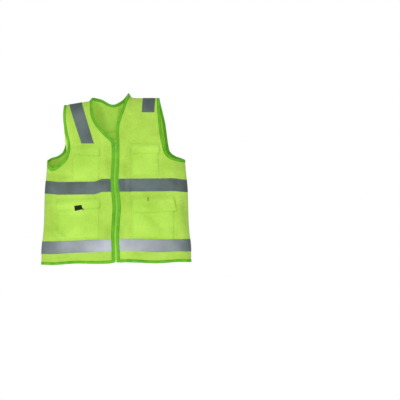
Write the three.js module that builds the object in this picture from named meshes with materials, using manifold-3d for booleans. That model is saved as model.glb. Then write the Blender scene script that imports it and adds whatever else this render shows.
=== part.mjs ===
// A sleeveless high visibility vest with a zipped front, hung by its shoulders.
//
// Millimetres, +Z up. The front faces -Y, and the wearer's right side is at -X. The origin is the top of the
// shoulders in the middle of the neck, where a hanger or a neck holds the vest up.
//
// Every cloth piece is cut from one of two shells, front and back, which share a grid. A shell is the vest's
// rounded outer surface moved in or out by a few tenths of a millimetre, so tape lies on cloth and binding wraps
// an edge at an even distance everywhere. Outlines are drawn flat in X and Z and cut through a shell along Y.
import * as THREE from "three";
import { mergeVertices } from "three/addons/utils/BufferGeometryUtils.js";
import Module from "manifold-3d";

const wasm = await Module();
wasm.setup();

// ---------------------------------------------------------------- driving dimensions
const LENGTH = 662; // shoulder to hem
const CHEST_HALF_WIDTH = 275; // at and above the underarm
const HEM_HALF_WIDTH = 300;
const HALF_DEPTH = 40; // how far the front and the back each stand off the plane of the side seams
const SIDE_ROUNDNESS = 6; // exponent of the cross-section: higher is flatter in front, tighter at the sides
const SHOULDER_DROP = 80; // height over which the shoulder rounds over from the seam to the flat front
const UNDERARM = -254;
const SEAM_GAP = 0.4; // each side of the plane where front and back meet
const REACH = 60; // how far an outline runs past an edge that it doesn't cut

const CLOTH = 1.2; // panel thickness
const GAP = 0.3; // between two layers that are sewn together
const TAPE_THICKNESS = 0.7;
const TAPE_WIDTH = 50;
const CHEST_BAND_TOP = -330;
const HEM_BAND_TOP = -570;

const BINDING_THICKNESS = 1.0;
const BINDING_WIDTH = 10;
const FRONT_EDGE = 5.9; // distance of each front edge from the middle of the zip

const POCKET_DEPTH = 7; // outer face of a pocket, off the panel
const POCKET_WALL = 1.2;
const PATCH_THICKNESS = 0.7;
const PATCH = { width: 27, height: 22 };
const FLAP_STANDOFF = POCKET_DEPTH + 2 * GAP + 2 * PATCH_THICKNESS + GAP; // inner face of a closed flap
const FLAP_KNEE = 9; // height over which a flap comes forward from its seam to clear the pocket

const FRONT = -1;
const BACK = 1;

// Height of the shoulder seam along X. The neck edge stands up a little beside the neck on each side, and the
// wearer's right shoulder hangs lower than the left.
const SHOULDER_LINE = [
  [-335, -51],
  [-201, -29],
  [-100, -12],
  [-89, 1],
  [57, 13],
  [67, 0],
  [179, 0],
  [335, -24],
];

// Cut edges as [x, z], each from the body of the vest up to the shoulder.
const FRONT_EDGE_RIGHT = [
  [-FRONT_EDGE, -196],
  [-12, -172],
  [-40, -141],
  [-67, -108],
  [-82, -79],
  [-89, -44],
  [-89, 1],
];
const FRONT_EDGE_LEFT = [
  [FRONT_EDGE, -150],
  [11, -108],
  [22, -74],
  [40, -26],
  [57, 13],
];
const ARMHOLE_FRONT_RIGHT = [
  [-CHEST_HALF_WIDTH, UNDERARM],
  [-268, -275],
  [-251, -285],
  [-221, -266],
  [-194, -232],
  [-188, -184],
  [-197, -140],
  [-203, -84],
  [-201, -29],
];
const ARMHOLE_FRONT_LEFT = [
  [CHEST_HALF_WIDTH, UNDERARM],
  [255, -252],
  [226, -241],
  [205, -220],
  [194, -177],
  [188, -134],
  [183, -80],
  [179, 0],
];
const ARMHOLE_BACK_RIGHT = [
  [-CHEST_HALF_WIDTH, UNDERARM],
  [-262, -244],
  [-238, -234],
  [-216, -214],
  [-206, -184],
  [-205, -152],
  [-210, -86],
  [-201, -29],
];
const ARMHOLE_BACK_LEFT = [
  [CHEST_HALF_WIDTH, UNDERARM],
  [253, -244],
  [236, -236],
  [214, -216],
  [207, -188],
  [200, -134],
  [195, -90],
  [179, 0],
];
const BACK_NECK = [
  [-89, 1],
  [-52, -6],
  [-12, -25],
  [27, -12],
  [57, 13],
];

// Pockets as their outlines' limits, and where each flap is sewn on above the mouth.
const POCKETS = {
  right_chest: { x: [-169, -65], mouth: -206, bottom: -326, flapTop: -193, flapBottom: -229 },
  left_chest: { x: [67, 173], mouth: -196, bottom: -316, flapTop: -183, flapBottom: -223 },
  right_lower: { x: [-230, -67], mouth: -411, bottom: -563, flapTop: -399, flapBottom: -445 },
  left_lower: { x: [66, 232], mouth: -411, bottom: -563, flapTop: -396, flapBottom: -457 },
};
const TAB = { x: -149, z: -437, width: 29, height: 21, turn: 0.14, tail: 8 }; // on the right lower flap

const ZIP = {
  top: -172,
  bottom: -646,
  tapeInner: 3.1,
  tapeOuter: 17,
  tapeThickness: 0.8,
  tapeDepth: 3.2, // front face of the tape, behind the panel's outer face
  toothPitch: 6,
  toothHeight: 2.4,
  toothReach: 0.9, // how far a tooth passes the middle
  toothDepth: 2.4,
  cord: 0.9,
};
const CHAIN_Y = -(HALF_DEPTH - ZIP.tapeDepth - ZIP.tapeThickness / 2); // middle of the chain

// ---------------------------------------------------------------- materials
const material = (color, roughness, metalness = 0) =>
  new THREE.MeshStandardMaterial({ color, roughness, metalness });
const LIME = material(0xb4ec5a, 0.85);
const GREEN = material(0x5ca520, 0.8);
const SILVER = material(0x6b757b, 0.45, 0.2);
const BLACK = material(0x0c120a, 0.9);
const ZIP_CLOTH = material(0x82d050, 0.85);
const ZIP_PLASTIC = material(0x6fc23c, 0.45);
const ENAMEL = material(0x5fae2c, 0.35, 0.3);
const WHITE = material(0xf2f2ee, 0.6);
const ORANGE = material(0xb07a2c, 0.8);

// ---------------------------------------------------------------- the vest's surface
function along(table, x) {
  const i = Math.max(1, table.findIndex(([at]) => at >= x));
  const [[x0, z0], [x1, z1]] = [table[i - 1], table[i]];
  return { value: z0 + ((z1 - z0) * (x - x0)) / (x1 - x0), slope: (z1 - z0) / (x1 - x0) };
}

const SIDE_SLOPE = (HEM_HALF_WIDTH - CHEST_HALF_WIDTH) / (UNDERARM + LENGTH);
const halfWidth = (z) => CHEST_HALF_WIDTH + Math.max(0, UNDERARM - z) * SIDE_SLOPE;

// The surface at share s of the half width, either at angle "round" of the shoulder or at height "z" below it,
// moved out along its normal by offset(x, z).
function surfacePoint(face, s, row, offset) {
  const shoulder = along(SHOULDER_LINE, s * CHEST_HALF_WIDTH);
  const drop = row.round === undefined ? 1 : 1 - Math.cos(row.round);
  const z = row.round === undefined ? row.z : shoulder.value - SHOULDER_DROP * drop;
  const width = halfWidth(z);
  const x = s * width;
  const side = Math.max(0, 1 - Math.abs(s) ** SIDE_ROUNDNESS);
  const over = 1 - (1 - drop) ** 2;
  const y = face * HALF_DEPTH * Math.sqrt(side * over);
  const bend = (2 * side * (1 - drop)) / SHOULDER_DROP;
  const turn = (SIDE_ROUNDNESS * Math.abs(s) ** (SIDE_ROUNDNESS - 1) * Math.sign(s) * over) / width;
  const normal = new THREE.Vector3(turn - bend * shoulder.slope, (2 * y) / HALF_DEPTH ** 2, bend);
  if (normal.length() < 1e-6) normal.set(Math.sign(s), 0, 1);
  return new THREE.Vector3(x, y, z).addScaledVector(normal.normalize(), offset(x, z));
}

const HALF_COLUMNS = 12;
const KINKS = SHOULDER_LINE.slice(2, 6).map(([x]) => x / CHEST_HALF_WIDTH);
const COLUMNS = [...Array(HALF_COLUMNS + 1).keys()]
  .map((k) => 1 - (1 - k / HALF_COLUMNS) ** 1.8)
  .flatMap((s) => (s ? [-s, s] : [0]))
  .concat(KINKS)
  .sort((a, b) => a - b);
const ROUND_ROWS = [0, 12, 26, 42, 60, 76, 90].map((degrees) => ({ round: (degrees * Math.PI) / 180 }));
const FLAT_ROWS = [-125, UNDERARM, -400, -530, -LENGTH - 4];

function solidFrom(vertices, triangles) {
  return new wasm.Manifold(
    new wasm.Mesh({
      numProp: 3,
      vertProperties: new Float32Array(vertices.flatMap((v) => v.toArray())),
      triVerts: new Uint32Array(triangles.flat()),
    }),
  );
}

// A closed layer of the front or back between two offsets, each a number or a function of x and z.
function shell(face, inner, outer, extraRows = []) {
  const at = (offset) => (typeof offset === "function" ? offset : () => offset);
  const flat = [...FLAT_ROWS, ...extraRows].sort((a, b) => b - a).map((z) => ({ z }));
  const rows = [...ROUND_ROWS, ...flat];
  const grid = (offset) => rows.flatMap((row) => COLUMNS.map((s) => surfacePoint(face, s, row, at(offset))));
  const vertices = [...grid(inner), ...grid(outer)];
  const [wide, high, sheet] = [COLUMNS.length, rows.length, rows.length * COLUMNS.length];
  const triangles = [];
  const quad = (a, b, c, d) => triangles.push(face < 0 ? [a, b, c] : [a, c, b], face < 0 ? [a, c, d] : [a, d, c]);
  for (let r = 0; r + 1 < high; r++)
    for (let c = 0; c + 1 < wide; c++) {
      const i = r * wide + c;
      quad(i, i + 1, i + wide + 1, i + wide);
      quad(sheet + i, sheet + i + wide, sheet + i + wide + 1, sheet + i + 1);
    }
  const wall = (i, j) => quad(j, i, sheet + i, sheet + j);
  for (let c = 0; c + 1 < wide; c++) {
    wall(c, c + 1);
    wall((high - 1) * wide + c + 1, (high - 1) * wide + c);
  }
  for (let r = 0; r + 1 < high; r++) {
    wall((r + 1) * wide, r * wide);
    wall(r * wide + wide - 1, (r + 1) * wide + wide - 1);
  }
  return solidFrom(vertices, triangles);
}

// ---------------------------------------------------------------- solids from three.js geometry
function solidOf(geometry) {
  const plain = geometry.index ? geometry.toNonIndexed() : geometry;
  const bare = new THREE.BufferGeometry().setAttribute("position", plain.getAttribute("position"));
  const merged = mergeVertices(bare, 1e-4);
  return new wasm.Manifold(
    new wasm.Mesh({
      numProp: 3,
      vertProperties: new Float32Array(merged.getAttribute("position").array),
      triVerts: new Uint32Array(merged.index.array),
    }),
  );
}

// An outline in X and Z, run through the vest along Y.
function prism(outline) {
  const shape = new THREE.Shape(outline.map(([x, z]) => new THREE.Vector2(x, z)));
  const depth = 4 * HALF_DEPTH;
  const geometry = new THREE.ExtrudeGeometry(shape, { depth, bevelEnabled: false });
  return solidOf(geometry.translate(0, 0, -depth / 2).rotateX(Math.PI / 2));
}

const box = ([x0, x1], [y0, y1], [z0, z1]) =>
  solidOf(
    new THREE.BoxGeometry(x1 - x0, y1 - y0, z1 - z0).translate((x0 + x1) / 2, (y0 + y1) / 2, (z0 + z1) / 2),
  );
const rectangle = ([x0, x1], [z0, z1]) => [
  [x0, z0],
  [x1, z0],
  [x1, z1],
  [x0, z1],
];

const SIZE = 1000;
const SIDE_OF_SEAM = {
  [FRONT]: box([-SIZE, SIZE], [-SIZE, -SEAM_GAP], [-SIZE, SIZE]),
  [BACK]: box([-SIZE, SIZE], [SEAM_GAP, SIZE], [-SIZE, SIZE]),
};
const cut = (layer, outline, face) => layer.intersect(prism(outline)).intersect(SIDE_OF_SEAM[face]);

// A smooth cut edge through its points, run on past both ends.
function edgeCurve(points, samples, startStep, endStep) {
  const curve = new THREE.SplineCurve(points.map(([x, z]) => new THREE.Vector2(x, z)));
  const smooth = curve.getPoints(samples).map((p) => [p.x, p.y]);
  const [first, last] = [smooth[0], smooth.at(-1)];
  return [
    [first[0] + startStep[0], first[1] + startStep[1]],
    ...smooth,
    [last[0] + endStep[0], last[1] + endStep[1]],
  ];
}

// The strip beside an edge, from "near" to "far" towards the cloth; hand says on which side the cloth is.
function strip(edge, hand, near, far) {
  const moved = (distance) =>
    edge.map(([x, z], i) => {
      const [before, after] = [edge[Math.max(0, i - 1)], edge[Math.min(edge.length - 1, i + 1)]];
      const [dx, dz] = [after[0] - before[0], after[1] - before[1]];
      const length = Math.hypot(dx, dz);
      return [x - (hand * distance * dz) / length, z + (hand * distance * dx) / length];
    });
  return [...moved(near), ...moved(far).reverse()];
}

// Binding folded round a cut edge: an outer leg, an inner leg, and the fold past the edge.
const INNER_LEG = -CLOTH - GAP - BINDING_THICKNESS;
function binding(face, edge, hand, trim) {
  const wide = strip(edge, hand, -GAP - BINDING_THICKNESS, BINDING_WIDTH);
  const fold = strip(edge, hand, -GAP - BINDING_THICKNESS, -GAP);
  const outerLeg = shell(face, GAP, GAP + BINDING_THICKNESS);
  const innerLeg = shell(face, INNER_LEG, -CLOTH - GAP);
  const whole = shell(face, INNER_LEG, GAP + BINDING_THICKNESS);
  const made = cut(outerLeg, wide, face).add(cut(innerLeg, wide, face)).add(cut(whole, fold, face));
  return trim ? made.intersect(prism(trim)) : made;
}

// ---------------------------------------------------------------- the assembly
const vest = new THREE.Group();

// The largest body is the piece: the others are slivers of under 1 mm3 that the seam plane leaves at an edge.
function add(name, solid, look) {
  const [piece, ...slivers] = solid.decompose().sort((a, b) => b.volume() - a.volume());
  if (slivers.some((s) => s.volume() > 1)) throw new Error(`${name} is in pieces`);
  const mesh = piece.getMesh();
  const geometry = new THREE.BufferGeometry()
    .setAttribute("position", new THREE.BufferAttribute(new Float32Array(mesh.vertProperties), 3))
    .setIndex(new THREE.BufferAttribute(new Uint32Array(mesh.triVerts), 1));
  const part = new THREE.Mesh(geometry, look);
  part.name = name;
  vest.add(part);
}

const UP = [0, REACH];
const EDGE_SAMPLES = 22;
const SIDES = {
  right: {
    sign: -1,
    frontEdge: edgeCurve(FRONT_EDGE_RIGHT, EDGE_SAMPLES, [0, -LENGTH], UP),
    armhole: {
      [FRONT]: edgeCurve(ARMHOLE_FRONT_RIGHT, EDGE_SAMPLES, [-REACH, 0], UP),
      [BACK]: edgeCurve(ARMHOLE_BACK_RIGHT, EDGE_SAMPLES, [-REACH, 0], UP),
    },
    shoulderTape: { top: [-181, -131], bottom: [-133, -83], end: -183 },
    braceTape: { top: [-181, -131], bottom: [-184, -134] },
  },
  left: {
    sign: 1,
    frontEdge: edgeCurve(FRONT_EDGE_LEFT, EDGE_SAMPLES, [0, -LENGTH], UP),
    armhole: {
      [FRONT]: edgeCurve(ARMHOLE_FRONT_LEFT, EDGE_SAMPLES, [REACH, 0], UP),
      [BACK]: edgeCurve(ARMHOLE_BACK_LEFT, EDGE_SAMPLES, [REACH, 0], UP),
    },
    shoulderTape: { top: [114, 164], bottom: [110, 160], end: -59 },
    braceTape: { top: [114, 164], bottom: [121, 171] },
  },
};
const BELOW_HEM = -LENGTH;
const hemBand = [HEM_BAND_TOP - TAPE_WIDTH, HEM_BAND_TOP];
const chestBand = [CHEST_BAND_TOP - TAPE_WIDTH, CHEST_BAND_TOP];
const tapeLayer = (face) => shell(face, GAP, GAP + TAPE_THICKNESS);

// Straps of tape that run down from the shoulder, drawn from past the seam so that the seam plane trims them.
function strapOutline({ top, bottom, end }) {
  const lean = (bottom[0] - top[0]) / end;
  return [
    [bottom[0], end],
    [bottom[1], end],
    [top[1] - lean * REACH, REACH],
    [top[0] - lean * REACH, REACH],
  ];
}

function buildBack() {
  const neck = edgeCurve(BACK_NECK, EDGE_SAMPLES, [-6, REACH], [6, REACH]);
  const { right, left } = SIDES;
  const outline = [...neck, ...left.armhole[BACK].toReversed()];
  outline.push([left.armhole[BACK][0][0], BELOW_HEM], [right.armhole[BACK][0][0], BELOW_HEM]);
  outline.push(...right.armhole[BACK]);
  add("back_panel", cut(shell(BACK, -CLOTH, 0), outline, BACK), LIME);
  add("back_neck_binding", binding(BACK, neck, -1), GREEN);
  const hem = [
    [-HEM_HALF_WIDTH - REACH, BELOW_HEM],
    [HEM_HALF_WIDTH + REACH, BELOW_HEM],
  ];
  add("back_hem_binding", binding(BACK, hem, 1), GREEN);
  for (const [name, side] of Object.entries(SIDES)) {
    add(`back_armhole_binding_${name}`, binding(BACK, side.armhole[BACK], side.sign), GREEN);
    const strap = strapOutline({ ...side.braceTape, end: CHEST_BAND_TOP + GAP });
    add(`back_brace_tape_${name}`, cut(tapeLayer(BACK), strap, BACK), SILVER);
  }
  const across = [-HEM_HALF_WIDTH - REACH, HEM_HALF_WIDTH + REACH];
  add("back_chest_band", cut(tapeLayer(BACK), rectangle(across, chestBand), BACK), SILVER);
  add("back_hem_band", cut(tapeLayer(BACK), rectangle(across, hemBand), BACK), SILVER);
  const label = rectangle([228, 262], [-602, -548]);
  add("care_label", cut(shell(BACK, -2.2, -CLOTH - GAP), label, BACK), WHITE);
}

function buildFront(name, side) {
  const { sign, frontEdge } = side;
  const armhole = side.armhole[FRONT];
  const outer = sign * (HEM_HALF_WIDTH + REACH);
  const outline = [[sign * FRONT_EDGE, BELOW_HEM], ...frontEdge.slice(1), ...armhole.toReversed(), [outer, BELOW_HEM]];
  add(`${name}_front_panel`, cut(shell(FRONT, -CLOTH, 0), outline, FRONT), LIME);

  const seam = sign * (FRONT_EDGE + BINDING_WIDTH + GAP);
  const aboveBottom = rectangle([-SIZE, SIZE], [BELOW_HEM - GAP - BINDING_THICKNESS, SIZE]);
  add(`${name}_front_edge_binding`, binding(FRONT, frontEdge, -sign, aboveBottom), GREEN);
  add(`${name}_front_armhole_binding`, binding(FRONT, armhole, sign), GREEN);
  const hem = [
    [seam, BELOW_HEM],
    [outer, BELOW_HEM],
  ];
  add(`${name}_front_hem_binding`, binding(FRONT, hem, sign), GREEN);

  const across = [seam, outer].sort((a, b) => a - b);
  add(`${name}_front_chest_band`, cut(tapeLayer(FRONT), rectangle(across, chestBand), FRONT), SILVER);
  add(`${name}_front_hem_band`, cut(tapeLayer(FRONT), rectangle(across, hemBand), FRONT), SILVER);
  add(`${name}_shoulder_tape`, cut(tapeLayer(FRONT), strapOutline(side.shoulderTape), FRONT), SILVER);
}

// ---------------------------------------------------------------- pockets, flaps and their hook and loop
// A pocket is a shallow tray, open at the mouth and closed behind by the panel that it is sewn to.
function pocketSolid({ x: [x0, x1], mouth, bottom }) {
  const outer = cut(shell(FRONT, GAP, POCKET_DEPTH), rectangle([x0, x1], [bottom, mouth]), FRONT);
  const room = rectangle([x0 + POCKET_WALL, x1 - POCKET_WALL], [bottom + POCKET_WALL, mouth + REACH]);
  return outer.subtract(cut(shell(FRONT, -GAP, POCKET_DEPTH - POCKET_WALL), room, FRONT));
}

// A flap starts against the panel at its seam and comes forward over the knee to hang in front of the pocket.
function flapSolid({ x: [x0, x1], flapTop, flapBottom }) {
  const rise = (z) => Math.min(1, Math.max(0, (flapTop - z) / FLAP_KNEE));
  const inner = (x, z) => GAP + (FLAP_STANDOFF - GAP) * rise(z);
  const outer = (x, z) => inner(x, z) + CLOTH;
  const [overhang, corner] = [2, 6];
  const outline = [
    [x0, flapTop],
    [x1, flapTop],
    [x1 + overhang, flapBottom + corner],
    [x1 + overhang - corner, flapBottom],
    [x0 - overhang + corner, flapBottom],
    [x0 - overhang, flapBottom + corner],
  ];
  return cut(shell(FRONT, inner, outer, [flapTop, flapTop - FLAP_KNEE]), outline, FRONT);
}

function patchSolid(x, z, depth) {
  const outline = rectangle([x - PATCH.width / 2, x + PATCH.width / 2], [z - PATCH.height / 2, z + PATCH.height / 2]);
  return cut(shell(FRONT, depth, depth + PATCH_THICKNESS), outline, FRONT);
}

function buildPocket(name, pocket) {
  const middle = (pocket.x[0] + pocket.x[1]) / 2;
  const patchHeight = pocket.flapBottom + PATCH.height / 2 + 4;
  add(`${name}_pocket`, pocketSolid(pocket), LIME);
  add(`${name}_flap`, flapSolid(pocket), LIME);
  add(`${name}_loop_patch`, patchSolid(middle, patchHeight, POCKET_DEPTH + GAP), LIME);
  add(`${name}_hook_patch`, patchSolid(middle, patchHeight, POCKET_DEPTH + 2 * GAP + PATCH_THICKNESS), LIME);
}

// A black tab of hook tape, sewn a little crooked over the lower edge of the right lower flap, with a frayed tail.
function buildTab() {
  const { x, z, width, height, turn, tail } = TAB;
  const [w, h] = [width / 2, height / 2];
  const corners = [[-w, -h], [w - 4, -h], [w + tail, -h - 1], [w - 1, -h + 6], [w, h], [-w, h]];
  const [c, s] = [Math.cos(turn), Math.sin(turn)];
  const outline = corners.map(([u, v]) => [x + u * c - v * s, z + u * s + v * c]);
  const depth = FLAP_STANDOFF + CLOTH + GAP;
  add("right_lower_closing_tab", cut(shell(FRONT, depth, depth + PATCH_THICKNESS), outline, FRONT), BLACK);
}

// A small bar tack of thread at the top of the left lower flap.
function buildBarTack() {
  const { flapTop } = POCKETS.left_lower;
  const depth = FLAP_STANDOFF + CLOTH + GAP;
  const outline = rectangle([124, 132], [flapTop - FLAP_KNEE - 12, flapTop - FLAP_KNEE - 1]);
  add("left_lower_flap_bar_tack", cut(shell(FRONT, depth, depth + 0.8), outline, FRONT), ORANGE);
}

// ---------------------------------------------------------------- the zip
const chainLayer = (half) => [CHAIN_Y - half, CHAIN_Y + half];

function zipTape(sign) {
  const across = [sign * ZIP.tapeInner, sign * ZIP.tapeOuter].sort((a, b) => a - b);
  return box(across, chainLayer(ZIP.tapeThickness / 2), [ZIP.bottom, ZIP.top]);
}

// One side's row of teeth, joined by the cord that they are moulded on. The two rows alternate.
function zipTeeth(sign, top) {
  const cordX = [ZIP.tapeInner - GAP - ZIP.cord, ZIP.tapeInner - GAP].map((x) => sign * x).sort((a, b) => a - b);
  const toothX = [-ZIP.toothReach, ZIP.tapeInner - GAP - ZIP.cord / 2].map((x) => sign * x).sort((a, b) => a - b);
  const depth = chainLayer(ZIP.toothDepth / 2);
  let row = box(cordX, depth, [ZIP.bottom, top]);
  const first = ZIP.bottom + (sign > 0 ? ZIP.toothPitch / 2 : 0) + 0.3;
  for (let z = first; z + ZIP.toothHeight < top; z += ZIP.toothPitch)
    row = row.add(box(toothX, depth, [z, z + ZIP.toothHeight]));
  return row;
}

// Slider: a front and a back plate with the chain between them, and a bail in front for the pull. A lip on each
// plate reaches behind the right row of teeth. The left side is open, so that row can leave as the fronts swing
// apart, and the wedge that joins the plates is left out, so that the slider can pass the teeth.
const SLIDER = { top: -177, length: 15, halfWidth: 4.2, plate: 1.4, channel: 1.8, lip: 1.1, slot: 0.8 };
const PULL_AXIS = { y: CHAIN_Y - SLIDER.channel - SLIDER.plate - 1.2, z: SLIDER.top - 5.6 };

function sliderPlate(face) {
  const { top, length, halfWidth: half, plate, channel, lip, slot } = SLIDER;
  const tall = [top - length, top];
  const depth = (near, far) => [CHAIN_Y + face * near, CHAIN_Y + face * far].sort((a, b) => a - b);
  const outer = channel + plate;
  let body = box([-half, half], depth(channel, outer), tall);
  body = body.add(box([-half, -half + lip], depth(slot, channel + 0.1), tall));
  if (face === BACK) return body;
  const [bailTop, bailBottom] = [top - 3, top - 13];
  body = body.add(box([-1.2, 1.2], depth(outer + 2.4, outer + 3.6), [bailBottom, bailTop]));
  for (const z of [bailTop - 1.5, bailBottom])
    body = body.add(box([-1.2, 1.2], depth(outer - 0.1, outer + 3.6), [z, z + 1.5]));
  return body;
}

// Pull: a crossbar under the bail, two arms beside it, and the tab that the fingers hold.
function pullTab() {
  const { y, z } = PULL_AXIS;
  const thick = [y - 0.7, y + 0.7];
  const [armInner, armOuter] = [2.0, 3.8];
  const tabTop = z - 9.4;
  const crossbar = new THREE.CylinderGeometry(0.8, 0.8, 2 * armOuter, 16).rotateZ(Math.PI / 2).translate(0, y, z);
  let pull = solidOf(crossbar);
  for (const sign of [-1, 1]) {
    const arm = [sign * armInner, sign * armOuter].sort((a, b) => a - b);
    pull = pull.add(box(arm, thick, [tabTop - 0.1, z]));
  }
  const shape = new THREE.Shape();
  shape.moveTo(-3.8, tabTop).lineTo(-4.1, tabTop - 20).absarc(0, tabTop - 20, 4.1, Math.PI, 2 * Math.PI, false);
  shape.lineTo(3.8, tabTop);
  const tab = new THREE.ExtrudeGeometry(shape, { depth: 1.4, bevelEnabled: false, curveSegments: 8 });
  return pull.add(solidOf(tab.rotateX(Math.PI / 2).translate(0, y + 0.7, 0)));
}

// The box at the foot of the right side takes the pin at the foot of the left side, and is open on that side.
function retainerBox() {
  const body = box([-4.3, 4.2], chainLayer(2.4), [ZIP.bottom - 9, ZIP.bottom - GAP]);
  return body.subtract(box([0.8, 5], chainLayer(1.6), [ZIP.bottom - 8, ZIP.bottom + 1]));
}

function buildZip() {
  add("zip_tape_right", zipTape(-1), ZIP_CLOTH);
  add("zip_tape_left", zipTape(1), ZIP_CLOTH);
  add("zip_teeth_right", zipTeeth(-1, SLIDER.top - 1), ZIP_PLASTIC);
  const pinTop = ZIP.bottom + 16;
  const leftTeeth = zipTeeth(1, SLIDER.top - 5).subtract(box([-2, 4], [-SIZE, SIZE], [ZIP.bottom - 1, pinTop + GAP]));
  add("zip_teeth_left", leftTeeth, ZIP_PLASTIC);
  for (const [name, sign] of [["right", -1], ["left", 1]]) {
    const across = [sign * 1, sign * (ZIP.tapeInner - GAP)].sort((a, b) => a - b);
    add(`zip_top_stop_${name}`, box(across, chainLayer(1.6), [SLIDER.top + 0.6, SLIDER.top + 4.6]), ZIP_PLASTIC);
  }
  add("zip_retainer_box", retainerBox(), ZIP_PLASTIC);
  add("zip_insertion_pin", box([1.1, 2.8], chainLayer(0.9), [ZIP.bottom - 7, pinTop]), ZIP_PLASTIC);
  add("zip_slider_front_plate", sliderPlate(FRONT), ENAMEL);
  add("zip_slider_back_plate", sliderPlate(BACK), ENAMEL);
  add("zip_pull_tab", pullTab(), ENAMEL);
}

buildBack();
for (const [name, side] of Object.entries(SIDES)) buildFront(name, side);
for (const [name, pocket] of Object.entries(POCKETS)) buildPocket(name, pocket);
buildTab();
buildBarTack();
buildZip();

export default vest;
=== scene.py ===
# %% [markdown]
# # A high visibility vest
# The vest is cut from fluorescent knit, bound in green satin and crossed by grey reflective tape. It is sewn flat,
# and only becomes round when it hangs. This lesson works the same way: each piece is drawn flat, in millimetres
# across and up the cloth, and one function then drapes it over the vest's rounded form. Layers that were sewn
# together flat are draped together, each at its own small height above the cloth.

# %% Load the frame
import math
import bpy
import numpy as np
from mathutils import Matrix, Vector, noise


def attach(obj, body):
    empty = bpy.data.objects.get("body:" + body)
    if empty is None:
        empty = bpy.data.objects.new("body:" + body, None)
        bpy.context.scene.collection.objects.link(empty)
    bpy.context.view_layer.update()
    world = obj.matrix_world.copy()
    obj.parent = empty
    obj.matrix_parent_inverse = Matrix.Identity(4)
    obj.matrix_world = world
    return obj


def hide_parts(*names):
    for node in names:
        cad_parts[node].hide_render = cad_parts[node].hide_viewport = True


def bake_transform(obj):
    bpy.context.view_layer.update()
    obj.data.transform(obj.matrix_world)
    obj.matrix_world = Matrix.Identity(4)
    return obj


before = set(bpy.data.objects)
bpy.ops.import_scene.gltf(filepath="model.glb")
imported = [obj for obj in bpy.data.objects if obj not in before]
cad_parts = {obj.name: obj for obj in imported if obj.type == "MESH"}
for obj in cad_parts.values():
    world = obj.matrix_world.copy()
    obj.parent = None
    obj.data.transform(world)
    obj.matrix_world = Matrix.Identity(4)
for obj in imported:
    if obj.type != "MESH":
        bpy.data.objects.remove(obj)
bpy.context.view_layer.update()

# %% [markdown]
# ## The form under the cloth
# A hanging vest is a flat tube: wide and nearly flat in front and behind, tight at the side seams, and rounded over
# the shoulders. It could be sculpted, but every layer must follow it at an even distance, so a formula is better.

# %% The form's sizes, in millimetres
LENGTH = 662
UNDERARM = -254
CHEST, HEM = 275, 300  # half widths
DEPTH = 40
SHOULDER_DROP = 80
SHOULDER_X = [-335, -201, -100, -89, 57, 67, 179, 335]
SHOULDER_Z = [-51, -29, -12, 1, 13, 0, 0, -24]
FRONT, BACK = -1, 1


def half_width(z):
    return CHEST + np.maximum(0, UNDERARM - z) * (HEM - CHEST) / (LENGTH + UNDERARM)


def shoulder(x):
    return np.interp(x, SHOULDER_X, SHOULDER_Z)


# %% [markdown]
# ## Creases and drift
# Vests are packed folded, so the cloth keeps straight creases from the packet, and hangs in soft folds besides.
# A simulation can't know where the packet's creases lie. So each one is listed: a line in the cloth, its height
# and its width. The cloth also shifts a little in its own plane, which bows the bands and waves the hem.

# %% Folds, each (x, z) to (x, z), height and width in millimetres
FRONT_FOLDS = [
    ((26, -322), (30, -402), -2.0, 6),
    ((40, -322), (40, -402), 1.6, 9),
    ((-66, -328), (-62, -388), -1.6, 6.5),
    ((42, -190), (30, -330), 2.4, 12),
    ((62, -240), (50, -400), 1.8, 10),
    ((-44, -190), (-38, -330), 2.2, 14),
    ((-54, -330), (-70, -385), 3.2, 12),
    ((-60, -100), (-150, -250), 1.6, 26),
    ((-275, -300), (-180, -306), -1.6, 8),
    ((-270, -330), (-150, -322), 1.8, 12),
    ((-282, -420), (-150, -424), 1.4, 10),
    ((-285, -500), (-225, -560), -2.0, 12),
    ((-262, -520), (-200, -556), 2.4, 11),
    ((-232, -540), (-200, -562), 2.6, 9),
    ((-50, -380), (-44, -560), 2.0, 14),
    ((110, -455), (190, -530), -1.8, 16),
    ((60, -420), (46, -560), 2.2, 15),
    ((250, -400), (262, -560), 2.2, 16),
    ((215, -70), (90, -150), 1.8, 26),
    ((240, -270), (190, -350), 2.4, 18),
    ((275, -300), (235, -345), -1.6, 10),
    ((120, -30), (60, -150), 2.2, 24),
    ((-120, -560), (-110, -660), 2.0, 22),
    ((90, -560), (96, -660), -1.8, 20),
    ((210, -560), (220, -660), 2.0, 24),
    ((-230, -560), (-235, -660), 2.2, 22),
]
BACK_FOLDS = [
    ((24, -20), (14, -120), 3.0, 12),
    ((16, -30), (0, -120), -2.2, 6.5),
    ((14, -120), (-2, -170), 1.6, 12),
    ((-24, -262), (-10, -338), -1.8, 8),
    ((-10, -326), (-14, -396), -2.5, 8),
    ((-16, -392), (2, -480), 3.0, 16),
    ((2, -470), (-4, -600), -2.6, 11),
    ((-2, -552), (4, -668), -2.2, 8.5),
    ((140, -95), (54, -128), 2.2, 7),
    ((60, -126), (-56, -143), 2.4, 6.5),
    ((-46, -140), (-124, -172), 2.2, 7),
    ((100, -120), (20, -146), -1.6, 10),
    ((-20, -128), (-110, -146), -1.8, 11),
    ((82, -170), (80, -290), 2.4, 14),
    ((-62, -175), (-66, -280), 2.2, 13),
    ((-80, -400), (-96, -474), -2.4, 8),
    ((-140, -470), (-210, -450), 2.0, 10),
    ((-230, -420), (-242, -540), 1.8, 18),
    ((130, -400), (150, -560), 1.6, 40),
    ((240, -400), (236, -560), 2.0, 18),
    ((-170, -540), (-100, -520), -1.4, 16),
    ((250, -262), (200, -340), 2.4, 18),
    ((-262, -270), (-215, -345), 2.4, 16),
]
print(len(FRONT_FOLDS), "folds in front,", len(BACK_FOLDS), "behind")

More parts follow.
